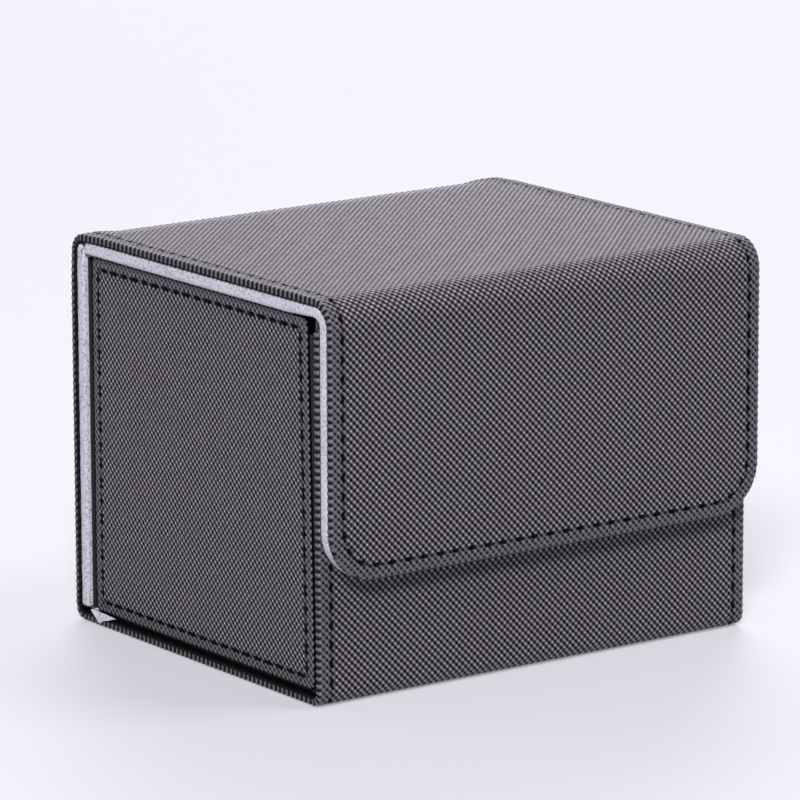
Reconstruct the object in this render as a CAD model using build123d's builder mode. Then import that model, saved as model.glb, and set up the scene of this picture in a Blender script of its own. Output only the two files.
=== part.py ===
# Side-loading card box. One strip of imitation leather runs round the box: front wall,
# bottom, back, top and flap. Each stretch of the strip is backed by a lined board. Two end
# panels stand inside the strip. The top turns on a living fold at the back, and the flap
# turns on a living fold at the front and is held shut by magnets.
# Millimetres, +Z up, the flap faces -Y. The origin is under the middle of the box.
import os

from build123d import *

os.makedirs("parts", exist_ok=True)

# Outside of the box, without the flap's own thickness in the depth
box_width = 107.0
body_depth = 88.65
box_height = 82.3
flap_height = 56.7
flap_corner_radius = 10.5

# Layers of the walls: leather, turned hem, board and suede
skin_thickness = 1.0
hem_thickness = 1.0
hem_width = 7.0
board_thickness = 1.7
fabric_thickness = 0.5
edge_round = 0.8
fabric_round = 0.45
stiffener_setback = 5.0

# Outer radii of the four folds of the strip
front_fold_radius = 3.0
rear_fold_radius = 5.5
lid_fold_radius = 4.3
flap_fold_radius = 6.0

# Gaps between pieces that move past each other or only lie close
flap_gap = 0.1
lid_gap = 1.3
lining_butt_gap = 0.2
fold_slack = 0.1
front_wall_gap = 0.5

# Linings of top, back and flap stay this far inside the leather's edge
lining_inset = 0.1
notch_run = 1.4
notch_depth = 1.1
notch_lip = 1.0

# End panels: how far inside the strip's edge they stand, and their shape
end_inset = 1.5
end_lift = 0.85
end_rear_gap = 1.55
end_front_gap = 0.3
end_lean = 1.65
end_corner_radius = 1.5
gusset_recess = 0.8
gusset_thickness = 1.6
gusset_rear_gap = 5.0

# Magnets, two in the flap and two in the front wall behind them
magnet_radius = 5.0
magnet_inset = 23.5
magnet_rise = 12.0
magnet_clearance = 0.1

# Levels that follow from the sizes above
wrap_thickness = skin_thickness + hem_thickness
lining_thickness = board_thickness + fabric_thickness
flap_proud = flap_gap + lining_thickness + wrap_thickness
overall_depth = body_depth + flap_proud
flap_out = -overall_depth / 2
front_out = flap_out + flap_proud
back_out = overall_depth / 2
front_in = front_out + wrap_thickness
back_in = back_out - wrap_thickness
top_in = box_height - wrap_thickness
room_front = front_in + lining_thickness
room_back = back_in - lining_thickness
room_floor = wrap_thickness + lining_thickness
room_ceiling = top_in - lining_thickness
end_out = box_width / 2 - end_inset
end_thickness = skin_thickness + board_thickness + fabric_thickness
room_half_width = end_out - end_thickness

# Where the flat stretches of the strip begin and end
bottom_front = front_out + front_fold_radius
bottom_rear = back_out - rear_fold_radius
back_low = rear_fold_radius
back_high = box_height - lid_fold_radius
top_rear = back_out - lid_fold_radius
top_front = flap_out + flap_fold_radius
flap_high = box_height - flap_fold_radius
flap_low = box_height - flap_height
front_low = front_fold_radius
front_high = flap_high - front_wall_gap


def keep(piece, label):
    """Name a finished piece and write it to its own file."""
    piece.part.label = label
    export_step(piece.part, f"parts/{label}.step")


def facing(centre, inward, across):
    """Plane on a wall, its normal pointing into the box and its x axis along the box's width."""
    return Plane(origin=centre, x_dir=across, z_dir=inward)


def cover(label, wall, length, free_end, corner_radius):
    """Leather of one wall: the sides, and the free end if it has one, are turned in as a hem."""
    with BuildPart() as leather:
        with BuildSketch(wall) as outline:
            Rectangle(box_width, length)
            if corner_radius > 0:
                fillet(outline.vertices().sort_by(Axis.Y)[-2:], corner_radius)
        extrude(amount=wrap_thickness)
        rim = []
        for edge in leather.edges():
            spot = wall.to_local_coords(edge.center())
            on_a_face = abs(spot.Z - wrap_thickness / 2) > wrap_thickness / 4
            at_low_fold = abs(spot.Y + length / 2) < edge_round / 4
            at_high_fold = abs(spot.Y - length / 2) < edge_round / 4 and not free_end
            if on_a_face and not at_low_fold and not at_high_fold:
                rim.append(edge)
        fillet(rim, edge_round)
        with BuildSketch(wall.offset(skin_thickness)):
            with Locations((0, -hem_width / 2 if free_end else 0)):
                Rectangle(box_width - 2 * hem_width, length - (hem_width if free_end else 0))
        extrude(amount=hem_thickness, mode=Mode.SUBTRACT)
    keep(leather, label)


def stiffener(label, wall, length, low_cut, high_cut):
    """Thin sheet that fills the space between the hems of a cover, cut short at its ends."""
    with BuildPart() as sheet:
        with BuildSketch(wall.offset(skin_thickness)):
            with Locations((0, (low_cut - high_cut) / 2)):
                Rectangle(box_width - 2 * hem_width, length - low_cut - high_cut)
        extrude(amount=hem_thickness)
    keep(sheet, label)


def lining(label, seat, width, length, corner_radius, notch, notch_face):
    """Suede over a board: a shallow tray, open to the leather, with softened inner edges.

    The notch is the bevel along one end that leaves the V beside the lid's fold. It gives the
    bevel's run along the wall and its depth, or nothing. The notch face is 0 for a bevel on
    the leather's side and -1 for one on the side of the cards.
    """
    inward = Axis(seat.origin, seat.z_dir)
    along = Axis(seat.origin, seat.y_dir)
    with BuildPart() as suede:
        with BuildSketch(seat) as outline:
            Rectangle(width, length)
            if corner_radius > 0:
                fillet(outline.vertices().sort_by(Axis.Y)[-2:], corner_radius)
        extrude(amount=lining_thickness)
        if notch:
            bevelled = suede.faces().sort_by(inward)[notch_face]
            chamfer(bevelled.edges().sort_by(along)[0], notch[0], notch[1], reference=bevelled)
        fillet(suede.faces().sort_by(inward)[-1].edges(), fabric_round)
        with BuildSketch(seat) as pocket:
            with Locations((0, notch[0] / 2 if notch else 0)):
                Rectangle(width - 2 * fabric_thickness, board_length(length, notch))
            if corner_radius > 0:
                fillet(pocket.vertices().sort_by(Axis.Y)[-2:], corner_radius - fabric_thickness)
        extrude(amount=board_thickness, mode=Mode.SUBTRACT)
    keep(suede, label)


def board_length(length, notch):
    """Length of the board inside a lining of the given length."""
    return length - 2 * fabric_thickness - (notch[0] if notch else 0)


def board(label, seat, width, length, corner_radius, notch, magnet_line):
    """Stiff board inside a lining, with holes for magnets where the wall has them."""
    with BuildPart() as stiff:
        with BuildSketch(seat) as outline:
            with Locations((0, notch[0] / 2 if notch else 0)):
                Rectangle(width - 2 * fabric_thickness, board_length(length, notch))
            if corner_radius > 0:
                fillet(outline.vertices().sort_by(Axis.Y)[-2:], corner_radius - fabric_thickness)
            if magnet_line is not None:
                with Locations((-magnet_spacing / 2, magnet_line), (magnet_spacing / 2, magnet_line)):
                    Circle(magnet_radius + magnet_clearance, mode=Mode.SUBTRACT)
        extrude(amount=board_thickness)
    keep(stiff, label)


def magnet(label, seat, across, along):
    """Disc magnet as thick as the board it sits in."""
    with BuildPart() as disc:
        with BuildSketch(seat):
            with Locations((across, along)):
                Circle(magnet_radius)
        extrude(amount=board_thickness)
    keep(disc, label)


def fold(label, centre, towards, outer_radius, thickness, width, hemmed):
    """Quarter of a tube along the box's width: the strip bent round one edge of the box."""
    reach = 2 * outer_radius
    middle = (centre[0] + towards[0] * reach / 2, centre[1] + towards[1] * reach / 2)
    with BuildPart() as strip:
        with BuildSketch(Plane.YZ.offset(-width / 2)):
            with Locations(centre):
                Circle(outer_radius)
                Circle(outer_radius - thickness, mode=Mode.SUBTRACT)
            with Locations(middle):
                Rectangle(reach, reach, mode=Mode.INTERSECT)
        extrude(amount=width)
        if hemmed:
            with BuildSketch(Plane.YZ.offset(-width / 2), Plane.YZ.offset(width / 2 - hem_width)):
                with Locations(centre):
                    Circle(outer_radius - thickness)
                    Circle(outer_radius - thickness - hem_thickness, mode=Mode.SUBTRACT)
                with Locations(middle):
                    Rectangle(reach, reach, mode=Mode.INTERSECT)
            extrude(amount=hem_width)
            ends = strip.faces().sort_by(Axis.X)[0].edges() + strip.faces().sort_by(Axis.X)[-1].edges()
            fillet(ends.filter_by(GeomType.CIRCLE), edge_round)
    keep(strip, label)


# Planes on the outer face of each wall, centred on its flat stretch. The y axis of the flap
# and of the front wall runs towards their free end.
bottom_length = bottom_rear - bottom_front
front_length = front_high - front_low
back_length = back_high - back_low
top_length = top_rear - top_front
flap_length = flap_high - flap_low
bottom_wall = facing((0, (bottom_front + bottom_rear) / 2, 0), (0, 0, 1), (1, 0, 0))
front_wall = facing((0, front_out, (front_low + front_high) / 2), (0, 1, 0), (-1, 0, 0))
back_wall = facing((0, back_out, (back_low + back_high) / 2), (0, -1, 0), (1, 0, 0))
top_wall = facing((0, (top_front + top_rear) / 2, box_height), (0, 0, -1), (1, 0, 0))
flap_wall = facing((0, flap_out, (flap_low + flap_high) / 2), (0, 1, 0), (1, 0, 0))

# Leather and stiffeners of the five walls. The sheets of back and top end short of the lid's fold.
cover("bottom_cover", bottom_wall, bottom_length, False, 0)
cover("front_cover", front_wall, front_length, True, 0)
cover("back_cover", back_wall, back_length, False, 0)
cover("top_cover", top_wall, top_length, False, 0)
cover("flap_cover", flap_wall, flap_length, True, flap_corner_radius)
stiffener("bottom_stiffener", bottom_wall, bottom_length, 0, 0)
stiffener("front_stiffener", front_wall, front_length, 0, hem_width)
stiffener("back_stiffener", back_wall, back_length, 0, stiffener_setback)
stiffener("top_stiffener", top_wall, top_length, stiffener_setback, 0)
stiffener("flap_stiffener", flap_wall, flap_length, 0, hem_width)

# The strip bent round the four long edges of the box
front_fold_centre = (bottom_front, front_fold_radius)
rear_fold_centre = (bottom_rear, rear_fold_radius)
lid_fold_centre = (top_rear, back_high)
flap_fold_centre = (top_front, flap_high)
fold("front_fold", front_fold_centre, (-1, -1), front_fold_radius, skin_thickness, box_width, True)
fold("rear_fold", rear_fold_centre, (1, -1), rear_fold_radius, skin_thickness, box_width, True)
fold("lid_fold", lid_fold_centre, (1, 1), lid_fold_radius, skin_thickness, box_width, False)
fold("flap_fold", flap_fold_centre, (-1, 1), flap_fold_radius, skin_thickness, box_width, False)

# Suede that bends with the strip: thick at the flap, a bare strip at the bottom of the back
lined_width = box_width - 2 * lining_inset
flap_bend_radius = flap_fold_radius - wrap_thickness
rear_bend_radius = rear_fold_radius - wrap_thickness - fold_slack
fold("flap_fold_lining", flap_fold_centre, (-1, 1), flap_bend_radius, lining_thickness, lined_width, False)
fold("rear_fold_lining", rear_fold_centre, (1, -1), rear_bend_radius, fabric_thickness, lined_width, False)

# Linings and boards of the five walls. The top's lining butts against the back's, and a bevel
# on each leaves the V beside the fold.
room_width = 2 * room_half_width
notch = (notch_run, notch_depth)
back_notch = (notch_depth, lining_thickness - notch_lip)
back_lined_high = back_high + lid_fold_radius / 2
top_lined_rear = room_back - lining_butt_gap
bottom_lined = bottom_rear - bottom_front
front_lined = front_high - fabric_thickness - room_floor
back_lined = back_lined_high - back_low
top_lined = top_lined_rear - top_front
flap_lined = flap_high - flap_low - lining_inset
bottom_seat = facing((0, (bottom_front + bottom_rear) / 2, wrap_thickness), (0, 0, 1), (1, 0, 0))
front_seat = facing((0, front_in, room_floor + front_lined / 2), (0, 1, 0), (-1, 0, 0))
back_seat = facing((0, back_in, back_low + back_lined / 2), (0, -1, 0), (-1, 0, 0))
top_seat = facing((0, top_front + top_lined / 2, top_in), (0, 0, -1), (1, 0, 0))
flap_seat = facing((0, flap_out + wrap_thickness, flap_high - flap_lined / 2), (0, 1, 0), (1, 0, 0))
flap_lined_corner = flap_corner_radius - lining_inset
lining("bottom_lining", bottom_seat, room_width, bottom_lined, 0, None, 0)
lining("front_lining", front_seat, room_width, front_lined, 0, None, 0)
lining("back_lining", back_seat, lined_width, back_lined, 0, back_notch, -1)
lining("top_lining", top_seat, lined_width, top_lined, 0, notch, 0)
lining("flap_lining", flap_seat, lined_width, flap_lined, flap_lined_corner, None, 0)

# Magnets lie on one level, so each seat's own y axis gives a different height along it
magnet_spacing = box_width - 2 * magnet_inset
magnet_height = flap_low + magnet_rise
front_magnet_line = magnet_height - front_seat.origin.Z
flap_magnet_line = flap_seat.origin.Z - magnet_height
board("bottom_board", bottom_seat, room_width, bottom_lined, 0, None, None)
board("front_board", front_seat, room_width, front_lined, 0, None, front_magnet_line)
board("back_board", back_seat, lined_width, back_lined, 0, back_notch, None)
board("top_board", top_seat, lined_width, top_lined, 0, notch, None)
board("flap_board", flap_seat, lined_width, flap_lined, flap_lined_corner, None, flap_magnet_line)
magnet("front_magnet_left", front_seat, magnet_spacing / 2, front_magnet_line)
magnet("front_magnet_right", front_seat, -magnet_spacing / 2, front_magnet_line)
magnet("flap_magnet_left", flap_seat, -magnet_spacing / 2, flap_magnet_line)
magnet("flap_magnet_right", flap_seat, magnet_spacing / 2, flap_magnet_line)

# End panels. Their front edge leans back a little towards the top, and a dark tape fills the
# recess between them, the bottom and the front wall.
end_low = wrap_thickness + end_lift
end_high = room_ceiling - lid_gap
end_rear = room_back - end_rear_gap
end_front_low = room_front + end_front_gap
end_front_high = end_front_low + end_lean
gusset_high = end_high - 2 * end_corner_radius
gusset_lean = end_lean * (gusset_high - end_low) / (end_high - end_low)

for side, side_name in ((-1, "left"), (1, "right")):
    end_plane = Plane(origin=(side * end_out, 0, 0), x_dir=(0, -side, 0), z_dir=(-side, 0, 0))
    end_outline = [
        (-side * end_front_low, end_low),
        (-side * end_rear, end_low),
        (-side * end_rear, end_high),
        (-side * end_front_high, end_high),
    ]

    # Leather over the outer face, turned in all round the board's edges
    with BuildPart() as end_cover:
        with BuildSketch(end_plane) as panel:
            Polygon(*end_outline, align=None)
            fillet(panel.vertices(), end_corner_radius)
        extrude(amount=skin_thickness + board_thickness)
        fillet(end_cover.faces().sort_by(Axis(end_plane.origin, end_plane.z_dir))[0].edges(), edge_round)
        with BuildSketch(end_plane.offset(skin_thickness)) as hollow:
            Polygon(*end_outline, align=None)
            fillet(hollow.vertices(), end_corner_radius)
            offset(amount=-skin_thickness)
        extrude(amount=board_thickness, mode=Mode.SUBTRACT)
    keep(end_cover, f"{side_name}_end_cover")

    with BuildPart() as end_board:
        with BuildSketch(end_plane.offset(skin_thickness)) as panel:
            Polygon(*end_outline, align=None)
            fillet(panel.vertices(), end_corner_radius)
            offset(amount=-skin_thickness)
        extrude(amount=board_thickness)
    keep(end_board, f"{side_name}_end_board")

    with BuildPart() as end_lining:
        with BuildSketch(end_plane.offset(skin_thickness + board_thickness)) as panel:
            Polygon(*end_outline, align=None)
            fillet(panel.vertices(), end_corner_radius)
        extrude(amount=fabric_thickness)
    keep(end_lining, f"{side_name}_end_lining")

    # Tape along the foot and the front edge of the end panel
    with BuildPart() as gusset:
        with BuildSketch(end_plane.offset(gusset_recess)):
            Polygon(
                (-side * bottom_front, wrap_thickness),
                (-side * (bottom_rear - gusset_rear_gap), wrap_thickness),
                (-side * (bottom_rear - gusset_rear_gap), end_low),
                (-side * end_front_low, end_low),
                (-side * (end_front_low + gusset_lean), gusset_high),
                (-side * front_in, gusset_high),
                (-side * front_in, front_low),
                align=None,
            )
        extrude(amount=gusset_thickness)
    keep(gusset, f"{side_name}_gusset")
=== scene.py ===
import bpy
import numpy as np
from mathutils import Matrix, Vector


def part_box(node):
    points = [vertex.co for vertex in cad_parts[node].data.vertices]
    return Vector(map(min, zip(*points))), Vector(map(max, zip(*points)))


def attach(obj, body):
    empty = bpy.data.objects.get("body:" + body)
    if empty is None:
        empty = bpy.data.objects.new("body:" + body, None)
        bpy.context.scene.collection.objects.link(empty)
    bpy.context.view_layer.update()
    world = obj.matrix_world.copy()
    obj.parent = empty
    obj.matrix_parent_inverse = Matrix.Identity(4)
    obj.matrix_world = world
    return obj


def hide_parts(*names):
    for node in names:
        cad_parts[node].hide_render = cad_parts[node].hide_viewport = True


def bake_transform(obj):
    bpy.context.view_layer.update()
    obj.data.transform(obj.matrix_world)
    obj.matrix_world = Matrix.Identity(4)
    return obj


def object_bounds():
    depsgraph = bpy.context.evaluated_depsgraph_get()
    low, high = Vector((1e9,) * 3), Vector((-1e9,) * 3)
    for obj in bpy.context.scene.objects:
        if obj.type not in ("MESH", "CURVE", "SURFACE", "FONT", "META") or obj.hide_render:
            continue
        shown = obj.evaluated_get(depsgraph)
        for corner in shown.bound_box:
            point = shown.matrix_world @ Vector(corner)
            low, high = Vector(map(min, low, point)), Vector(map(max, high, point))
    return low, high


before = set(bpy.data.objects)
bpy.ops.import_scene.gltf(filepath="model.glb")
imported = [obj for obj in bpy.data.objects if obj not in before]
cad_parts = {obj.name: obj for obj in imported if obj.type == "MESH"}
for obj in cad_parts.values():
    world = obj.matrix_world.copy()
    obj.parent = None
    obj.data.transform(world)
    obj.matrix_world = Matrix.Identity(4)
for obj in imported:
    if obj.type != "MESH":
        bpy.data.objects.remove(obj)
cad_low, cad_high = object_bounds()

# Front wall. It is the first stretch of one long strip of embossed imitation leather that runs on
# under the box, up the back, over the top and down the flap. Its sides and its free end are turned
# in as a hem and sewn through with black thread.
MM = 0.001
STRETCHES = (
    "front_cover", "front_fold", "bottom_cover", "rear_fold", "back_cover",
    "lid_fold", "top_cover", "flap_fold", "flap_cover",
)
FULL_FOLD, FULLNESS = "rear_fold", 4
strip_half_width = cad_high[0]
boxes = {name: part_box(name) for name in STRETCHES}
# Depth and height of the points where the stretches meet, on the outer face
strip_corners = np.array((
    (boxes["front_cover"][0].y, boxes["front_cover"][1].z),
    (boxes["front_cover"][0].y, boxes["front_cover"][0].z),
    (boxes["bottom_cover"][0].y, boxes["bottom_cover"][0].z),
    (boxes["bottom_cover"][1].y, boxes["bottom_cover"][0].z),
    (boxes["back_cover"][1].y, boxes["back_cover"][0].z),
    (boxes["back_cover"][1].y, boxes["back_cover"][1].z),
    (boxes["top_cover"][1].y, boxes["top_cover"][1].z),
    (boxes["top_cover"][0].y, boxes["top_cover"][1].z),
    (boxes["flap_cover"][0].y, boxes["flap_cover"][1].z),
    (boxes["flap_cover"][0].y, boxes["flap_cover"][0].z),
))
strip_steps = np.abs(np.diff(strip_corners, axis=0)).max(axis=1)
strip_is_fold = np.array([name.endswith("fold") for name in STRETCHES])
strip_lengths = np.where(strip_is_fold, strip_steps * np.pi / 2, strip_steps)
strip_marks = np.concatenate(((0.0,), np.cumsum(strip_lengths)))
# The front wall runs straight down, and each fold turns the strip by a quarter
strip_headings = np.pi / 2 * (np.arange(len(STRETCHES)) // 2 - 1)


def on_strip(name, x, along, rise):
    """Points of the strip from x, the distance along it from the front wall's top, and a rise out of it.

    A flat stretch is a straight line and runs straight on past its ends. A fold is an arc whose
    heading turns by the distance over the radius. The full fold is pushed out into its corner, from a
    circle to a curve of the fourth power.
    """
    index = STRETCHES.index(name)
    run = along - strip_marks[index]
    heading = strip_headings[index]
    start_y, start_z = strip_corners[index]
    if strip_is_fold[index]:
        radius = strip_steps[index]
        turned = heading + run / radius
        if name == FULL_FOLD:
            powers = np.abs(np.sin(turned)) ** FULLNESS + np.abs(np.cos(turned)) ** FULLNESS
            rise = rise + radius * (powers ** (-1 / FULLNESS) - 1)
        y = start_y - radius * np.sin(heading) + (radius + rise) * np.sin(turned)
        z = start_z + radius * np.cos(heading) - (radius + rise) * np.cos(turned)
    else:
        y = start_y + run * np.cos(heading) + rise * np.sin(heading)
        z = start_z + run * np.sin(heading) - rise * np.cos(heading)
    return np.stack(np.broadcast_arrays(x, y, z), axis=-1)


EMBOSS_PERIOD = 1.5 * MM
EMBOSS_HEIGHT = 0.25 * MM
EMBOSS_STEP = EMBOSS_PERIOD / 4
EMBOSS_UNEVEN = 0.012 * MM
EMBOSS_LEFT_AT_EDGE = 0.5
EMBOSS_FADE_ON_SIDE = 0.5
UNEVEN_SEED = 7
uneven = np.random.default_rng(UNEVEN_SEED)


def emboss_phases(across, along):
    """Phases of the two sets of slanting ridges, which cross at right angles: the difference and the
    sum of the two distances, a full turn to a period."""
    turn = 2 * np.pi / EMBOSS_PERIOD
    return turn * (across - along), turn * (across + along)


def emboss_hollow(phases):
    """Depth of the emboss, from 0 on a point to 1 in a pit: one less the mean of two raised cosines, so
    that points and pits alternate like the squares of a chessboard."""
    return 0.5 - (np.cos(phases[0]) + np.cos(phases[1])) / 4


WRAP_THICKNESS = 2.0 * MM
HEM_WIDTH = 7.0 * MM
OUTER_ROUND = 0.45 * MM
INNER_ROUND = 0.6 * MM
EDGE_DROOP = 0.12 * MM
EDGE_ARC_RINGS, EDGE_UNDER_RINGS = 6, 5
EDGE_TEETH_INSET = 0.25 * MM
# Painted shade on the turned side of an edge: the angle in radians from which it starts and the further
# angle over which it grows to full black.
SIDE_SHADE_FROM, SIDE_SHADE_OVER = 1.5, 0.5
STITCH_INSET = 2.9 * MM
STITCH_PITCH = 3.9 * MM
STITCH_LENGTH = 0.8 * MM
STITCH_PIT_DEPTH = 0.5 * MM
STITCH_PIT_REACH = 0.37 * MM
SEAM_BAND = 1.3 * MM
GROOVE_REACH, GROOVE_DEPTH = 0.28 * MM, 0.2 * MM
# Share of the emboss that the groove flattens, and the painted shade in the groove.
GROOVE_FLAT, GROOVE_SHADE = 0.5, 0.2


def turned_edge(first_inset, thickness, back_inset):
    """Rings from a first inset out to a sewn edge, round it and back under it.

    The face is level and droops by a smooth step from the seam to the edge. A small arc leads to the
    upright side and a larger one to the underside, which runs in to the back inset. Gives inset, depth,
    the angle turned through and the length so far.
    """
    face = np.arange(first_inset, OUTER_ROUND, -EMBOSS_STEP / 2)
    drop = np.clip((STITCH_INSET - face) / (STITCH_INSET - OUTER_ROUND), 0, 1)
    turn = np.linspace(0, np.pi / 2, EDGE_ARC_RINGS)
    under = np.linspace(INNER_ROUND, back_inset, EDGE_UNDER_RINGS)[1:]
    inset = np.concatenate((
        face, OUTER_ROUND * (1 - np.sin(turn)), INNER_ROUND * (1 - np.cos(turn)), under))
    depth = np.concatenate((
        EDGE_DROOP * drop * drop * (3 - 2 * drop),
        EDGE_DROOP + OUTER_ROUND * (1 - np.cos(turn)),
        thickness - INNER_ROUND * (1 - np.sin(turn)),
        np.full(under.shape, thickness),
    ))
    angle = np.concatenate((np.zeros(face.shape), turn, np.pi / 2 + turn, np.full(under.shape, np.pi)))
    run = np.concatenate(((0.0,), np.cumsum(np.hypot(np.diff(inset), np.diff(depth)))))
    return inset, depth, angle, run


LEAST_CORNER_SHARE = 0.1


def framed_grid(half_width, start, stop, free_start, free_stop, corner, step, inset):
    """Rectangular grid whose outer lines become rings that follow the edge and its round corners.

    Inside, lines lie a step apart. A ring's point is found from the larger of its two ring numbers,
    and in a corner the smaller over the larger gives its angle on the arc. Gives, for each point,
    x, the distance along, the ring number and the two parts of the outward direction.
    """
    inset = np.concatenate(((inset[0] + step,), inset))
    reach = half_width - inset[0]
    columns = np.arange(-np.round(reach / step), np.round(reach / step) + 1) * step
    rings = np.arange(1, len(inset))
    column_ring = np.concatenate((rings[::-1], np.zeros(len(columns), int), rings))[None, :]
    column_x = np.concatenate((np.full(len(rings), -reach), columns, np.full(len(rings), reach)))
    first = start + inset[0] if free_start else start
    last = stop - inset[0] if free_stop else stop
    between = np.arange(np.ceil(first / step + 0.5), np.floor(last / step - 0.5) + 1) * step
    rows = np.concatenate(((first,), between, (last,)))
    lead = rings[::-1] if free_start else rings[:0]
    tail = rings if free_stop else rings[:0]
    row_ring = np.concatenate((lead, np.zeros(len(rows), int), tail))[:, None]
    row_s = np.concatenate((np.full(len(lead), first), rows, np.full(len(tail), last)))[:, None]
    row_side = np.where(np.arange(len(row_s)) < len(lead) + len(rows) // 2, -1, 1)[:, None]
    side = np.sign(column_x)[None, :]
    ring = np.maximum(row_ring, column_ring)
    bend = np.minimum(row_ring, column_ring) / np.maximum(ring, 1) * np.pi / 4
    sideways = column_ring >= row_ring
    out_x = np.where(ring == 0, 0, np.where(sideways, np.cos(bend), np.sin(bend)))
    out_s = np.where(ring == 0, 0, np.where(sideways, np.sin(bend), np.cos(bend)))
    radius = np.maximum(corner - inset, LEAST_CORNER_SHARE * inset[0])[ring]
    centre = inset[ring] + radius
    edge_s = np.where(row_side < 0, start, stop)
    x = np.where(column_ring > 0, side * (half_width - centre + radius * out_x), column_x[None, :])
    s = np.where(row_ring > 0, edge_s - row_side * (centre - radius * out_s), row_s)
    return x, s, ring, side * out_x, row_side * out_s


def grid_piece(name, points, finish, flipped=False, wrapped=False, **values):
    """Mesh with a quad between each four neighbours of one grid of points or of many, with named values
    at its points. A wrapped grid also joins its last column to its first."""
    index = np.arange(points[..., 0].size).reshape(points.shape[:-1])
    if wrapped:
        index = np.concatenate((index, index[..., :1]), axis=-1)
    corners = index[..., :-1, :-1], index[..., 1:, :-1], index[..., 1:, 1:], index[..., :-1, 1:]
    quads = np.stack(corners, axis=-1).reshape(-1, 4)
    if flipped:
        quads = quads[:, ::-1]
    mesh = bpy.data.meshes.new(name)
    mesh.vertices.add(points[..., 0].size)
    mesh.vertices.foreach_set("co", points.astype(np.float32).ravel())
    mesh.loops.add(quads.size)
    mesh.loops.foreach_set("vertex_index", quads.astype(np.int32).ravel())
    mesh.polygons.add(len(quads))
    mesh.polygons.foreach_set("loop_start", np.arange(0, quads.size, 4, dtype=np.int32))
    mesh.update(calc_edges=True)
    mesh.shade_smooth()
    for key, value in values.items():
        layer = mesh.attributes.new(key, "FLOAT", "POINT")
        spread = np.broadcast_to(value, points.shape[:-1])
        layer.data.foreach_set("value", spread.astype(np.float32).ravel())
    mesh.materials.append(finish)
    piece = bpy.data.objects.new(name, mesh)
    bpy.context.scene.collection.objects.link(piece)
    return piece


def shader(name):
    """New material: the material, its node tree and its Principled shader."""
    material = bpy.data.materials.new(name)
    material.use_nodes = True
    tree = material.node_tree
    return material, tree, tree.nodes["Principled BSDF"]


def fill(tree, filled, inputs):
    """Fills a node's inputs with numbers or with other nodes' outputs."""
    for key, value in dict(inputs).items():
        if isinstance(value, bpy.types.NodeSocket):
            tree.links.new(value, filled.inputs[key])
        else:
            filled.inputs[key].default_value = value


def node(tree, kind, inputs=(), **settings):
    """Adds a node, gives it settings and fills its inputs."""
    new = tree.nodes.new(kind)
    for key, value in settings.items():
        setattr(new, key, value)
    fill(tree, new, inputs)
    return new


def worked_out(tree, operation, *values):
    """Result of one arithmetic operation on values."""
    return node(tree, "ShaderNodeMath", enumerate(values), operation=operation).outputs[0]


def attribute(tree, name):
    """Value that a mesh carries at its points under a name."""
    return node(tree, "ShaderNodeAttribute", attribute_name=name).outputs["Fac"]


def speckle(tree, scale, detail):
    """Cloudy noise over the piece's own coordinates, with a scale per metre and finer layers on top."""
    place = node(tree, "ShaderNodeTexCoord").outputs["Object"]
    noise = node(tree, "ShaderNodeTexNoise", {"Vector": place, "Scale": scale, "Detail": detail})
    return noise.outputs["Fac"]


def mapped(tree, value, low, high, start=0.0, stop=1.0):
    """Straight line from low to high as a value goes from start to stop."""
    return node(tree, "ShaderNodeMapRange", {
        "Value": value, "From Min": start, "From Max": stop, "To Min": low, "To Max": high}).outputs[0]


def toned(tree, value, *stops):
    """Colour that follows a value in straight lines between stops, each a position and a colour."""
    ramp = node(tree, "ShaderNodeValToRGB", {"Fac": value})
    first, *between, last = stops
    for element, (position, colour) in zip(ramp.color_ramp.elements, (first, last)):
        element.position = position
        element.color = (*colour, 1)
    for position, colour in between:
        ramp.color_ramp.elements.new(position).color = (*colour, 1)
    return ramp.outputs["Color"]


def raised(tree, height, distance, strength=1.0, **settings):
    """Bump node whose normal leans as if the surface rose by a distance over a height from 0 to 1."""
    inputs = {"Height": height, "Distance": distance, "Strength": strength}
    return node(tree, "ShaderNodeBump", inputs, **settings)


LEATHER_TINT = np.array((1.0, 0.915, 1.075))
# Tones of the leather by darkness. The near-white first stops are a painted highlight on the emboss's
# points, the middle ones the leather's own charcoal, and the black last ones partly its darker furrows and
# partly painted shade in pits, seam holes and shaded sides.
LEATHER_TONES_WITH_PAINTED_LIGHT = (
    (0.0, 0.80), (0.055, 0.39), (0.15, 0.145), (0.35, 0.114),
    (0.52, 0.085), (0.63, 0.03), (0.72, 0.002), (1.0, 0.0005),
)
FLAT_DARKNESS = 0.42
RIDGE_WEIGHT, CROSS_RIDGE_WEIGHT = 0.31, 0.19
EMBOSS_RELIEF = 0.28 * MM
LEATHER_GRAIN = 0.03 * MM


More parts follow.
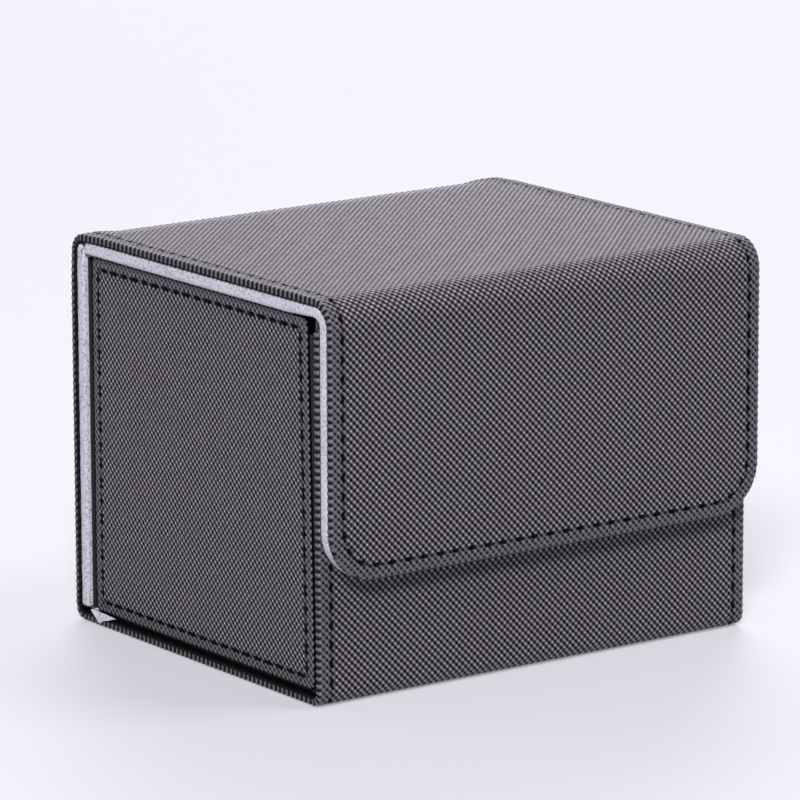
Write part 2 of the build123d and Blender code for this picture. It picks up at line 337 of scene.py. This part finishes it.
def leather_finish():
    """Charcoal imitation leather with a violet cast and a fine grain. Its colour holds painted light: a
    painted highlight, near white, on its points, grey between them, and in its pits a black that is partly
    the leather's darker furrows and partly painted shade, duller there too. The painted shade of the seams'
    holes, grooves and turned sides is added from a value that the mesh carries.

    How deep a spot lies comes from the cosines of its two phases. One set of ridges weighs more than the
    other, so that the painted highlights on the points look like short slanting strokes, as lit flanks do.
    """
    material, tree, surface = shader("embossed_leather")
    ridge = worked_out(tree, "COSINE", attribute(tree, "slant_one"))
    cross_ridge = worked_out(tree, "COSINE", attribute(tree, "slant_two"))
    leaned = worked_out(tree, "MULTIPLY_ADD", ridge, -RIDGE_WEIGHT, 0.5)
    hollow = worked_out(tree, "MULTIPLY_ADD", cross_ridge, -CROSS_RIDGE_WEIGHT, leaned)
    deep = attribute(tree, "deep")
    pressed = node(tree, "ShaderNodeMix", {"Factor": deep, "A": FLAT_DARKNESS, "B": hollow})
    # Darkness of the colour: the emboss's depth, which paints highlights on the points and shade in the
    # pits, plus the painted shade of seam holes, groove and turned sides.
    painted_dark = worked_out(tree, "ADD", pressed.outputs["Result"], attribute(tree, "hole_and_shade"))
    stops = [(darkness, LEATHER_TINT * tone) for darkness, tone in LEATHER_TONES_WITH_PAINTED_LIGHT]
    grain = raised(tree, speckle(tree, scale=4200.0, detail=2.0), LEATHER_GRAIN, strength=0.25)
    relief = raised(tree, worked_out(tree, "MULTIPLY", hollow, deep), EMBOSS_RELIEF, invert=True)
    fill(tree, relief, {"Normal": grain.outputs["Normal"]})
    fill(tree, surface, {
        "Base Color": toned(tree, painted_dark, *stops),
        "Roughness": mapped(tree, painted_dark, low=0.26, high=0.50),
        "Specular IOR Level": mapped(tree, painted_dark, low=0.40, high=0.13, start=0.35, stop=0.75),
        "Normal": relief.outputs["Normal"],
    })
    return material


def thread_finish():
    """Twisted black thread: a slanting wave round the stitch stands for its plies."""
    material, tree, surface = shader("black_thread")
    fibre = speckle(tree, scale=7000.0, detail=3.0)
    plies = raised(tree, attribute(tree, "ply"), distance=0.05 * MM, strength=0.5)
    fill(tree, surface, {
        "Base Color": toned(tree, fibre, (0.0, (0.001, 0.001, 0.0012)), (1.0, (0.005, 0.0048, 0.0056))),
        "Roughness": 0.7,
        "Specular IOR Level": 0.06,
        "Normal": plies.outputs["Normal"],
    })
    return material


leather = leather_finish()
thread = thread_finish()
THREAD_RADIUS = 0.3 * MM
THREAD_RISE = -0.3 * MM
THREAD_DIVE = 0.7 * MM
THREAD_TWIST = 6
THREAD_POINTS = 6
THREAD_SIDES = 6


def seam_stitches(path):
    """Stitches along a path of points: the path is cut into equal lengths close to the stitch pitch, and
    the thread shows round the middle of each. Gives the stitches' middles and directions."""
    run = np.concatenate(((0.0,), np.cumsum(np.hypot(*np.diff(path, axis=0).T))))
    holes = np.linspace(0, run[-1], max(2, round(run[-1] / STITCH_PITCH) + 1))
    ends = np.stack([np.interp(holes, run, path[:, part]) for part in (0, 1)], axis=-1)
    reach = np.diff(ends, axis=0)
    return (ends[1:] + ends[:-1]) / 2, reach / np.hypot(*reach.T)[:, None]


def thread_piece(name, middles, directions, length, place):
    """Stitches as tubes that dive by a fourth power at both ends.

    A ring of points stands round each point of a stitch's centre line, in the plane of the surface's
    rise and of the direction across the stitch.
    """
    share = np.linspace(-1, 1, THREAD_POINTS)
    around = np.arange(THREAD_SIDES) * 2 * np.pi / THREAD_SIDES
    across = directions[:, ::-1] * (1, -1)
    centre = middles[:, None] + directions[:, None] * share[:, None] * length / 2
    spread = centre[:, :, None] + across[:, None, None] * (THREAD_RADIUS * np.cos(around))[:, None]
    rise = (THREAD_RISE - THREAD_DIVE * share ** 4)[:, None] + THREAD_RADIUS * np.sin(around)
    points = place(spread[..., 0], spread[..., 1], np.broadcast_to(rise, spread.shape[:-1]))
    ply = np.sin(THREAD_TWIST * share[:, None] + around)
    piece = grid_piece(name, points, thread, flipped=True, wrapped=True, ply=ply)
    return piece


SEAM_CORNER_POINTS = 17
SEAM_LEAST_CORNER = 0.1 * MM


def strip_seams(start, stop, free_start, free_stop, corner):
    """Stitches of one stretch: two straight seams, or one that runs down a side, round the corners of
    the free end and up the other side."""
    line = strip_half_width - STITCH_INSET
    if not free_start and not free_stop:
        sides = [seam_stitches(np.array(((side * line, start), (side * line, stop)))) for side in (-1, 1)]
        return [np.concatenate(part) for part in zip(*sides)]
    radius = max(corner - STITCH_INSET, SEAM_LEAST_CORNER)
    turn = np.linspace(0, np.pi / 2, SEAM_CORNER_POINTS)
    bend_x = line - radius + radius * np.cos(turn)
    bend_s = stop - STITCH_INSET - radius + radius * np.sin(turn)
    path = np.concatenate((
        ((-line, start),), np.stack((-bend_x, bend_s), axis=-1),
        np.stack((bend_x, bend_s), axis=-1)[::-1], ((line, start),)))
    if free_start:
        path[:, 1] = start + stop - path[:, 1]
    return seam_stitches(path)


FOLD_SAG = 0.95 * MM
SAG_AT_HEM = 0.4
SAG_REACH = 11.0 * MM
SAG_FIRST_INSET = 4.0 * MM
SAG_RAMP = 6.5 * MM


def lid_fold_sag(x, along):
    """How far the strip sinks at the lid's fold between its hems: a raised cosine along the strip round
    the middle of the fold, which a smooth step makes less over the hems."""
    index = STRETCHES.index("lid_fold")
    middle = (strip_marks[index] + strip_marks[index + 1]) / 2
    bell = 0.5 + 0.5 * np.cos(np.pi * np.clip((along - middle) / SAG_REACH, -1, 1))
    ramp = np.clip((strip_half_width - np.abs(x) - SAG_FIRST_INSET) / SAG_RAMP, 0, 1)
    return FOLD_SAG * bell * (SAG_AT_HEM + (1 - SAG_AT_HEM) * ramp * ramp * (3 - 2 * ramp))


def sewn_surface(grid, edge, seam_inset, stitch_length, shade_from, seams):
    """Embossed leather inside a sewn edge: moved points, rise, and the values that its finish reads.

    The emboss runs on to the edge, where its last row is pulled round it, and is pressed flatter there.
    The seam pulls a shallow groove into it, a bell curve of the distance from the seam. Each stitch sinks
    into a pit, a flat-topped bell curve of the distance from the stitch's straight line. Painted shade is
    black in these pits and fainter in the groove, and from a given angle on it darkens the turned edge
    until it is as black as in the pits.
    """
    x, s, ring, out_x, out_s = grid
    middles, directions = seams
    inset, depth, angle, run = (np.concatenate(((value[0],), value))[ring] for value in edge)
    first_inset = edge[0][0]
    extra = np.minimum(run, first_inset - EDGE_TEETH_INSET) - (first_inset - inset)
    near = (np.abs(inset - seam_inset) < SEAM_BAND) & (angle == 0) & (ring > 0)
    off_x, off_s = x[near][:, None] - middles[:, 0], s[near][:, None] - middles[:, 1]
    lengthwise = np.abs(off_x * directions[:, 0] + off_s * directions[:, 1]) - stitch_length / 2
    crosswise = off_x * directions[:, 1] - off_s * directions[:, 0]
    distance = np.hypot(np.maximum(lengthwise, 0), crosswise).min(axis=1)
    hole_and_shade = np.zeros(x.shape)
    hole_and_shade[near] = np.exp(-(distance / STITCH_PIT_REACH) ** 4)
    groove = np.exp(-((inset - seam_inset) / GROOVE_REACH) ** 2) * (angle == 0)
    fade = np.where(angle == 0, np.clip((seam_inset - inset) / seam_inset, 0, 1), EMBOSS_FADE_ON_SIDE)
    deep = (1 - (1 - EMBOSS_LEFT_AT_EDGE) * fade) * (1 - hole_and_shade) * (1 - GROOVE_FLAT * groove)
    phases = emboss_phases(x + out_x * extra, s + out_s * extra)
    lift = uneven.normal(0, EMBOSS_UNEVEN, x.shape) - EMBOSS_HEIGHT * deep * emboss_hollow(phases)
    rise = lift * np.cos(angle) - depth - hole_and_shade * STITCH_PIT_DEPTH - groove * GROOVE_DEPTH
    push = lift * np.sin(angle)
    # Painted shade: black in the stitches' pits, growing on the turned edge from the given angle on, and
    # fainter in the seam's groove.
    painted_dark = np.maximum(hole_and_shade, np.clip((angle - shade_from) / SIDE_SHADE_OVER, 0, 1))
    painted_dark = np.maximum(painted_dark, GROOVE_SHADE * groove)
    values = {"slant_one": phases[0], "slant_two": phases[1], "deep": deep, "hole_and_shade": painted_dark}
    return x + out_x * push, s + out_s * push, rise, values


def sewn_leather(name, free_start=False, free_stop=False, corner=0, back_inset=HEM_WIDTH):
    """One stretch of the strip with its thread, embossed in the strip's own two directions so that the
    pattern runs on from stretch to stretch. Its hems reach in by the back inset, and a fold without a
    lining is closed by hems that reach in to its middle."""
    index = STRETCHES.index(name)
    start, stop = strip_marks[index], strip_marks[index + 1]
    edge = turned_edge(max(corner, STITCH_INSET + SEAM_BAND), WRAP_THICKNESS, back_inset)
    seams = strip_seams(start, stop, free_start, free_stop, corner)
    grid = framed_grid(strip_half_width, start, stop, free_start, free_stop, corner, EMBOSS_STEP, edge[0])

    def place(x, s, rise):
        """Point of this stretch, sunk where the lid's fold sags."""
        return on_strip(name, x, s, rise - lid_fold_sag(x, s))

    x, s, rise, values = sewn_surface(grid, edge, STITCH_INSET, STITCH_LENGTH, SIDE_SHADE_FROM, seams)
    skin = grid_piece(name + "_leather", place(x, s, rise), leather, **values)
    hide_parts(name)
    return skin, thread_piece(name + "_thread", *seams, STITCH_LENGTH, place)


FRONT_CORNER = 1.0 * MM
for piece in sewn_leather("front_cover", free_start=True, corner=FRONT_CORNER):
    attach(piece, "tray")

# Bottom, back and the two folds beside the bottom. The same strip runs on: the fold at the front is
# tight and the one at the back is wide. Their hems are sewn along both sides.
for name in ("front_fold", "bottom_cover", "rear_fold", "back_cover"):
    for piece in sewn_leather(name):
        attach(piece, "tray")

# Top of the box and the living fold that joins it to the back. The fold is leather alone, so it lies
# lower between its hems.
for piece in sewn_leather("top_cover"):
    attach(piece, "lid")


for piece in sewn_leather("lid_fold", back_inset=strip_half_width):
    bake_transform(piece)

# Flap and the fold at the front of the top, the last stretches of the strip. The flap's lower corners
# are round, and its seam turns with them.
FLAP_CORNER = 10.5 * MM
for piece in sewn_leather("flap_cover", free_stop=True, corner=FLAP_CORNER):
    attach(piece, "flap")
for piece in sewn_leather("flap_fold"):
    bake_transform(piece)

# Linings of bottom, front wall, back, top and flap. Each is pale grey suede pulled over the edges of
# a board and glued to the hems of the leather. Back and top are notched where they meet.
LINING_THICKNESS = 2.2 * MM
LINING_ROUND = 0.65 * MM
LINING_STEP = 1.0 * MM
LINING_FIRST_INSET = 3.0 * MM
LINING_FACE_RINGS, LINING_SIDE_RINGS = 7, 4
LINING_CORNER, NOTCHED_CORNER, FLAP_LINING_CORNER = 1.0 * MM, 0.8 * MM, 10.4 * MM
NAP_UNEVEN = 0.02 * MM
DRAWN_IN = 0.45 * MM
BACK_LONGER = 2.7 * MM
TOP_THICKER = 0.5 * MM
THICKER_FADE = 10.0 * MM
NOTCH_RUN, NOTCH_DEPTH, NOTCH_LIP = 2.3 * MM, 1.4 * MM, 0.7 * MM
BRUSHED_SHARE = 0.18


def suede_finish():
    """Pale grey suede with a violet cast: dark specks between the fibres, paler and darker where it is
    brushed, with hardly any gloss and a soft sheen."""
    material, tree, surface = shader("grey_suede")
    fibre = speckle(tree, scale=2100.0, detail=3.0)
    brushed = speckle(tree, scale=160.0, detail=2.0)
    tone = worked_out(tree, "MULTIPLY_ADD", brushed, BRUSHED_SHARE, fibre)
    nap = raised(tree, fibre, distance=0.12 * MM, strength=0.6)
    fill(tree, surface, {
        "Base Color": toned(tree, tone, (0.40, (0.25, 0.245, 0.276)), (0.62, (0.64, 0.627, 0.688))),
        "Roughness": 0.95,
        "Sheen Weight": 0.25,
        "Specular IOR Level": 0.15,
        "Normal": nap.outputs["Normal"],
    })
    return material


suede = suede_finish()


def wrapped_edge(thickness, rounding, corner=0):
    """Rings of a lining's edge: level face from inside the corner's arc, a quarter circle, the upright
    side and a turn underneath. Gives inset and depth."""
    first_inset = max(LINING_FIRST_INSET, corner)
    face = np.linspace(first_inset, rounding, LINING_FACE_RINGS)
    turn = np.linspace(0, np.pi / 2, LINING_FACE_RINGS)[1:]
    side = np.linspace(rounding, thickness, LINING_SIDE_RINGS)[1:]
    inset = np.concatenate((face, rounding * (1 - np.sin(turn)), np.zeros(side.shape), (first_inset,)))
    depth = np.concatenate((np.zeros(face.shape), rounding * (1 - np.cos(turn)), side, (thickness,)))
    return inset, depth


def strip_span(stretch, box):
    """First and last distance along the strip that a node's box takes up on a flat stretch."""
    index = STRETCHES.index(stretch)
    heading = strip_headings[index]
    ends = [(corner.y - strip_corners[index, 0]) * np.cos(heading)
            + (corner.z - strip_corners[index, 1]) * np.sin(heading) for corner in box]
    return strip_marks[index] + min(ends), strip_marks[index] + max(ends)


def no_bevel(s, depth, stop, out_s):
    """Leaves the lining as it is."""
    return s, depth


def back_bevel(s, depth, stop, out_s):
    """Upper end of the back's lining: its face falls away towards the end, so that a lip is left."""
    fall = np.clip(1 - (stop - s) / NOTCH_DEPTH, 0, 1) * (LINING_THICKNESS - NOTCH_LIP)
    return s, depth + fall * (1 - depth / LINING_THICKNESS)


def top_bevel(s, depth, stop, out_s):
    """Rear end of the top's lining: its side slopes back from the notch's depth to the leather."""
    slope = np.clip((depth - NOTCH_DEPTH) / (LINING_THICKNESS - NOTCH_DEPTH), 0, 1)
    return s + NOTCH_RUN * slope * np.maximum(-out_s, 0), depth


def lining(name, stretch, corner, free_start=True, free_stop=True, bevel=no_bevel,
           drawn_in=0, longer=0, thicker=0):
    """Suede over a board: a level face inside a wrapped edge, on the inner side of one stretch.

    The bevel is a function that moves the points of one end and gives the distance along and the depth.
    The sides can be drawn in, the first end can be longer, and the face can stand out further by an
    amount that fades towards the last end.
    """
    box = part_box(name)
    start, stop = strip_span(stretch, box)
    start = start - longer
    edge = wrapped_edge(LINING_THICKNESS, LINING_ROUND, corner)
    x, s, ring, out_x, out_s = framed_grid(
        box[1].x - drawn_in, start, stop, free_start, free_stop, corner, LINING_STEP, edge[0])
    depth = np.concatenate(((0.0,), edge[1]))[ring]
    s, depth = bevel(s, depth, stop, out_s)
    nap = uneven.normal(0, NAP_UNEVEN, depth.shape)
    stands = thicker * np.clip((stop - s) / THICKER_FADE, 0, 1) * (1 - depth / LINING_THICKNESS)
    rise = depth + nap - stands - WRAP_THICKNESS - LINING_THICKNESS
    piece = grid_piece(name + "_suede", on_strip(stretch, x + out_x * nap, s, rise), suede, flipped=True)
    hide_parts(name)
    return piece


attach(lining("bottom_lining", "bottom_cover", LINING_CORNER), "tray")
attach(lining("front_lining", "front_cover", LINING_CORNER), "tray")
back_lining = lining(
    "back_lining", "back_cover", NOTCHED_CORNER, bevel=back_bevel, drawn_in=DRAWN_IN, longer=BACK_LONGER)
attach(back_lining, "tray")
top_lining = lining(
    "top_lining", "top_cover", NOTCHED_CORNER, free_stop=False, bevel=top_bevel, drawn_in=DRAWN_IN,
    thicker=TOP_THICKER)
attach(top_lining, "lid")
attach(lining("flap_lining", "flap_cover", FLAP_LINING_CORNER, free_start=False), "flap")

# Suede in the two folds. At the flap the lining of the top runs on round the bend, as thick as the
# lining itself. At the foot of the back a thin bare strip of suede runs on to the bottom.
BARE_THICKNESS = 0.5 * MM
BARE_SLACK = 0.1 * MM
BARE_ROUND = 0.2 * MM
BARE_SET_BACK = 2.2 * MM


def fold_suede(fold, thickness, rounding, set_back=0, slack=0):
    """Suede on the inner side of a fold: the arc from the fold's first end to its last, wrapped round
    its two side edges. It can be set back from the sides and lie off the leather by a slack."""
    index = STRETCHES.index(fold)
    edge = wrapped_edge(thickness, rounding)
    half_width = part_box(fold + "_lining")[1].x - set_back
    start, stop = strip_marks[index], strip_marks[index + 1]
    x, s, ring = framed_grid(half_width, start, stop, False, False, 0, LINING_STEP / 2, edge[0])[:3]
    rise = np.concatenate(((0.0,), edge[1]))[ring] - WRAP_THICKNESS - slack - thickness
    piece = grid_piece(fold + "_suede", on_strip(fold, x, s, rise), suede, flipped=True)
    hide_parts(fold + "_lining")
    return piece


bent_suede = fold_suede("flap_fold", LINING_THICKNESS, LINING_ROUND)
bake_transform(bent_suede)
bare_strip = fold_suede(
    "rear_fold", BARE_THICKNESS, BARE_ROUND, set_back=BARE_SET_BACK, slack=BARE_SLACK)
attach(bare_strip, "tray")

# Loose tab of that strip at the left. It is a torn, three-cornered bit of suede that hangs from the
# strip over the edge of the bottom.
TAB_REAR, TAB_TIP, TAB_FRONT = np.array(((40.0, 3.1), (37.4, 0.8), (31.2, 2.8))) * MM
TAB_TIP_SHARE = 0.32
TAB_RAGGED, TAB_TEETH = 0.18, 19
TAB_THICKNESS = 0.35 * MM
TAB_CLEARANCE = 0.05 * MM
TAB_CURL = 0.25 * MM
TAB_POINTS = 13


def hanging_tab():
    """Tab between its two upper corners and its tip, in depth and height.

    From each point of the upper edge it hangs down towards the tip, by a share that falls in straight
    lines from the tip to both corners and that a sine makes ragged. It curls outwards by a sine of the
    way down. The inner face runs back up, and the first row once more closes the upper edge.
    """
    share = np.linspace(0, 1, TAB_POINTS)
    across, down = np.meshgrid(share, share)
    span = np.where(across < TAB_TIP_SHARE, TAB_TIP_SHARE, 1 - TAB_TIP_SHARE)
    length = 1 - np.abs(across - TAB_TIP_SHARE) / span
    ragged = 1 + TAB_RAGGED * np.sin(TAB_TEETH * across) * length
    upper = TAB_REAR + across[..., None] * (TAB_FRONT - TAB_REAR)
    above_tip = TAB_REAR + TAB_TIP_SHARE * (TAB_FRONT - TAB_REAR)
    hang = upper + (down * length * ragged)[..., None] * (TAB_TIP - above_tip)
    out = strip_half_width + TAB_CLEARANCE + TAB_CURL * np.sin(np.pi * down / 2)
    outer, inner = (
        np.concatenate((-(out - depth)[..., None], hang), axis=-1) for depth in (0, TAB_THICKNESS))
    return np.concatenate((outer, inner[::-1], outer[:1]), axis=0)


tab = grid_piece("rear_fold_tab", hanging_tab(), suede)
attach(tab, "tray")

# End panels. Each is a board with the same leather over its outer face, turned in on four sides and
# sewn all round, and with suede on its inner face. The front edge leans back towards the top.
SIDES = ((-1, "left"), (1, "right"))
END_CORNER = 1.5 * MM
END_DEPTH = 2.7 * MM
END_HEM_WIDTH = 2.0 * MM
END_STITCH_INSET = 2.4 * MM
END_STITCH_LENGTH = 1.7 * MM
# The end panel's turned edge takes painted shade from a smaller angle, as its sides lie in shadow.
END_SHADE_FROM = 0.9
END_HANG, END_RISE = 0.4 * MM, 0.5 * MM
END_LEAN = 1.65 * MM


def end_panel(side, side_name):
    """Leather, thread and suede of one end panel, from its flat outline.

    The panel is a rectangle in the box's depth and height, sheared so that its front edge leans: the
    shear grows with the height and with the distance from the rear edge.
    """
    low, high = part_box(side_name + "_end_cover")
    outside = max(abs(low.x), abs(high.x))
    rear, front = high.y, low.y
    half = (rear - front) / 2

    def place(u, v, rise):
        """Point of the panel: u along the depth, v up and a rise out of the panel."""
        y = (rear + front) / 2 - side * u
        y = y + END_LEAN * np.clip((v - low.z) / (high.z - low.z), 0, 1) * (rear - y) / (rear - front)
        return np.stack(np.broadcast_arrays(side * (outside + rise), y, v), axis=-1)

    line = half - END_STITCH_INSET
    foot, head = low.z - END_HANG, high.z + END_RISE
    v_low, v_high = foot + END_STITCH_INSET, head - END_STITCH_INSET
    corners = np.array(((-line, v_low), (line, v_low), (line, v_high), (-line, v_high), (-line, v_low)))
    sides = [seam_stitches(corners[first:first + 2]) for first in range(4)]
    seams = [np.concatenate(part) for part in zip(*sides)]
    edge = turned_edge(STITCH_INSET + SEAM_BAND, END_DEPTH, END_HEM_WIDTH)
    grid = framed_grid(half, foot, head, True, True, END_CORNER, EMBOSS_STEP, edge[0])
    u, v, rise, values = sewn_surface(grid, edge, END_STITCH_INSET, END_STITCH_LENGTH, END_SHADE_FROM, seams)
    skin = grid_piece(side_name + "_end_leather", place(u, v, rise), leather, **values)
    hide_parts(side_name + "_end_cover")
    sewn = thread_piece(side_name + "_end_thread", *seams, END_STITCH_LENGTH, place)
    inner = wrapped_edge(BARE_THICKNESS, BARE_ROUND)
    u, v, ring = framed_grid(half, low.z, high.z, True, True, END_CORNER, LINING_STEP, inner[0])[:3]
    rise = np.concatenate(((0.0,), inner[1]))[ring] - END_DEPTH - BARE_THICKNESS
    back = grid_piece(side_name + "_end_suede", place(u, v, rise), suede, flipped=True)
    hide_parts(side_name + "_end_lining")
    return skin, sewn, back


for side, side_name in SIDES:
    for piece in end_panel(side, side_name):
        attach(piece, "tray")

# Boards inside the walls and the end panels, and thin sheets that stiffen the walls between their hems.
# All are raw greyboard, cut to size and glued between leather and suede.
WALLS = ("bottom", "front", "back", "top", "flap")


def board_finish():
    """Raw greyboard: warm grey pulp with paler and darker fibres."""
    material, tree, surface = shader("raw_greyboard")
    pulp = speckle(tree, scale=900.0, detail=5.0)
    fill(tree, surface, {
        "Base Color": toned(tree, pulp, (0.35, (0.17, 0.155, 0.135)), (0.65, (0.29, 0.27, 0.24))),
        "Roughness": 0.9,
    })
    return material


def finish_nodes(names, finish):
    """Gives one finish to nodes that are shown as they come from the CAD model."""
    for name in names:
        materials = bpy.data.objects[name].data.materials
        materials.clear()
        materials.append(finish)


greyboard = board_finish()
finish_nodes([wall + layer for wall in WALLS for layer in ("_stiffener", "_board")], greyboard)
finish_nodes([side_name + "_end_board" for _, side_name in SIDES], greyboard)

# Magnets that hold the flap to the front wall. They are nickel-plated discs in holes of the two boards,
# two in each.


def nickel_finish():
    """Nickel plate: bright metal with fine scuffs in its gloss."""
    material, tree, surface = shader("nickel_plate")
    scuffs = speckle(tree, scale=1500.0, detail=4.0)
    fill(tree, surface, {
        "Base Color": (0.66, 0.65, 0.62, 1),
        "Metallic": 1.0,
        "Roughness": mapped(tree, scuffs, low=0.16, high=0.34),
    })
    return material


nickel = nickel_finish()
finish_nodes([wall + "_magnet_" + side_name for wall in ("front", "flap") for _, side_name in SIDES], nickel)

# Black woven tape. A broad one, the gusset, fills the recess between each end panel and the strip. A
# narrow black strip of it on the back's lining, along each end panel, is painted shade for the dark gap
# at that joint.
SHADE_RIBBON_WIDTH, SHADE_RIBBON_THICKNESS = 1.2 * MM, 0.2 * MM
SHADE_RIBBON_SET_IN = 0.25 * MM
SHADE_RIBBON_ROWS = 9


def tape_finish():
    """Black woven tape: the product of two bands of waves that cross makes a fine weave."""
    material, tree, surface = shader("woven_tape")
    place = node(tree, "ShaderNodeTexCoord").outputs["Object"]
    waves = {"Vector": place, "Scale": 450.0}
    warp = node(tree, "ShaderNodeTexWave", waves, bands_direction="Y").outputs["Fac"]
    weft = node(tree, "ShaderNodeTexWave", waves, bands_direction="Z").outputs["Fac"]
    weave = worked_out(tree, "MULTIPLY", warp, weft)
    ribs = raised(tree, weave, distance=0.08 * MM, strength=0.5)
    fill(tree, surface, {
        "Base Color": toned(tree, weave, (0.0, (0.004, 0.004, 0.005)), (1.0, (0.020, 0.019, 0.021))),
        "Roughness": 0.85,
        "Normal": ribs.outputs["Normal"],
    })
    return material


tape = tape_finish()
finish_nodes([side_name + "_gusset" for _, side_name in SIDES], tape)


def shade_ribbon(side, side_name):
    """Flat black strip on the lining of the back, from just inside the panel's outer face inwards: a
    rectangle carried up the panel's height. It is painted shade for the gap beside the panel."""
    panel_low, panel_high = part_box(side_name + "_end_cover")
    outer = max(abs(panel_low.x), abs(panel_high.x)) - SHADE_RIBBON_SET_IN
    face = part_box("back_lining")[0].y
    x = side * np.array((outer, outer, outer - SHADE_RIBBON_WIDTH, outer - SHADE_RIBBON_WIDTH))
    y = face + np.array((0, -SHADE_RIBBON_THICKNESS, -SHADE_RIBBON_THICKNESS, 0))
    z = np.linspace(panel_low.z, panel_high.z, SHADE_RIBBON_ROWS)
    points = np.stack(np.broadcast_arrays(x[None, :], y[None, :], z[:, None]), axis=-1)
    piece = grid_piece(side_name + "_ribbon", points, tape, flipped=side < 0, wrapped=True)
    return piece


# Strips of painted shade beside the end panels.
for side, side_name in SIDES:
    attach(shade_ribbon(side, side_name), "tray")

# Studio: a pale floor, a world that is brighter behind the box than towards the viewer, and four soft
# boxes. The camera and clear or shiny things see the floor paler than it lights the box.
WORLD_TINT = (0.97, 0.965, 1.0, 1)
WORLD_DIM, WORLD_BRIGHT = 0.05, 0.46
WORLD_DIM_FROM, WORLD_BRIGHT_FROM = -0.6, 0.5
FLOOR_REACH = 6.0
FLOOR_LINES = 9
FLOOR_PAINT, FLOOR_PAINT_SEEN = (0.5, 0.496, 0.52, 1), (0.62, 0.615, 0.655, 1)
FLOOR_GLOW, FLOOR_GLOW_SHARE = (0.985, 0.975, 1.03, 1), 0.30
LIGHT_TINT = (1.0, 0.975, 1.03)
LIT_POINT = (0, 0, 0.04)
world = bpy.data.worlds.new("studio")
bpy.context.scene.world = world
world.use_nodes = True
sky = world.node_tree
direction = node(sky, "ShaderNodeTexCoord").outputs["Generated"]
depthwise = node(sky, "ShaderNodeSeparateXYZ", {0: direction}).outputs["Y"]
brightness = mapped(sky, depthwise, WORLD_DIM, WORLD_BRIGHT, WORLD_DIM_FROM, WORLD_BRIGHT_FROM)
fill(sky, sky.nodes["Background"], {"Color": WORLD_TINT, "Strength": brightness})

floor_finish, floor_tree, floor_surface = shader("pale_floor")
rays = node(floor_tree, "ShaderNodeLightPath").outputs
straight = worked_out(floor_tree, "MAXIMUM", rays["Is Camera Ray"], rays["Is Transmission Ray"])
seen = worked_out(floor_tree, "MAXIMUM", straight, rays["Is Glossy Ray"])
paints = {"Fac": seen, "Color1": FLOOR_PAINT, "Color2": FLOOR_PAINT_SEEN}
paint = node(floor_tree, "ShaderNodeMixRGB", paints)
fill(floor_tree, floor_surface, {"Base Color": paint.outputs["Color"], "Roughness": 0.6})
glow = node(floor_tree, "ShaderNodeEmission", {"Color": FLOOR_GLOW}).outputs["Emission"]
glow_share = worked_out(floor_tree, "MULTIPLY", seen, FLOOR_GLOW_SHARE)
mixed = node(floor_tree, "ShaderNodeMixShader", {0: glow_share, 1: floor_surface.outputs["BSDF"], 2: glow})
fill(floor_tree, floor_tree.nodes["Material Output"], {"Surface": mixed.outputs[0]})
floor_line = np.linspace(-FLOOR_REACH, FLOOR_REACH, FLOOR_LINES)
floor_x, floor_y = np.meshgrid(floor_line, floor_line)
floor_points = np.stack((floor_x, floor_y, np.zeros_like(floor_x)), axis=-1)
floor = grid_piece("floor", floor_points, floor_finish, flipped=True)


def soft_box(name, place, size, power):
    """Square soft box at a place, turned towards the point that it lights."""
    lamp = bpy.data.lights.new(name, "AREA")
    lamp.size = size
    lamp.energy = power
    lamp.color = LIGHT_TINT
    box = bpy.data.objects.new(name, lamp)
    box.location = place
    away = np.subtract(place, LIT_POINT)
    box.rotation_euler = (np.arctan2(np.hypot(away[0], away[1]), away[2]), 0, np.arctan2(away[0], -away[1]))
    bpy.context.scene.collection.objects.link(box)


soft_box("high_right", (0.95, -0.8, 1.7), size=0.8, power=15)
soft_box("key", (-0.98, -1.2, 1.3), size=0.4, power=37)
soft_box("rear_left", (-1.04, 1.56, 0.7), size=0.5, power=1.8)
soft_box("rear_right", (1.0, 1.4, 1.0), size=1.2, power=17)

# Camera, at the place from which the photograph's outlines fit. Its focal length is given in pixels of
# the photograph's frame.
FRAME_PIXELS, FOCAL_PIXELS = 800, 5804.693
SENSOR_WIDTH = 36
azimuth, elevation, roll = np.radians((-35.846, 12.676, -0.203))
distance = 1194.363 * MM
shift_right, shift_up = -1.895 * MM, 6.334 * MM
aim = np.array((0, 1.675, 40.7)) * MM
backward = np.array((
    np.sin(azimuth) * np.cos(elevation), -np.cos(azimuth) * np.cos(elevation), np.sin(elevation)))
level = np.cross(-backward, (0, 0, 1))
level /= np.linalg.norm(level)
upright = np.cross(level, -backward)
right = level * np.cos(roll) + upright * np.sin(roll)
up = upright * np.cos(roll) - level * np.sin(roll)
camera_data = bpy.data.cameras.new("camera")
camera_data.sensor_width = SENSOR_WIDTH
camera_data.lens = FOCAL_PIXELS / FRAME_PIXELS * SENSOR_WIDTH
camera_data.clip_end = 50
camera = bpy.data.objects.new("camera", camera_data)
stand = np.eye(4)
stand[:3, 0], stand[:3, 1], stand[:3, 2] = right, up, backward
stand[:3, 3] = aim + backward * distance + right * shift_right + up * shift_up
camera.matrix_world = Matrix(stand.tolist())
bpy.context.scene.collection.objects.link(camera)
bpy.context.scene.camera = camera
bpy.context.scene.view_settings.view_transform = "Standard"
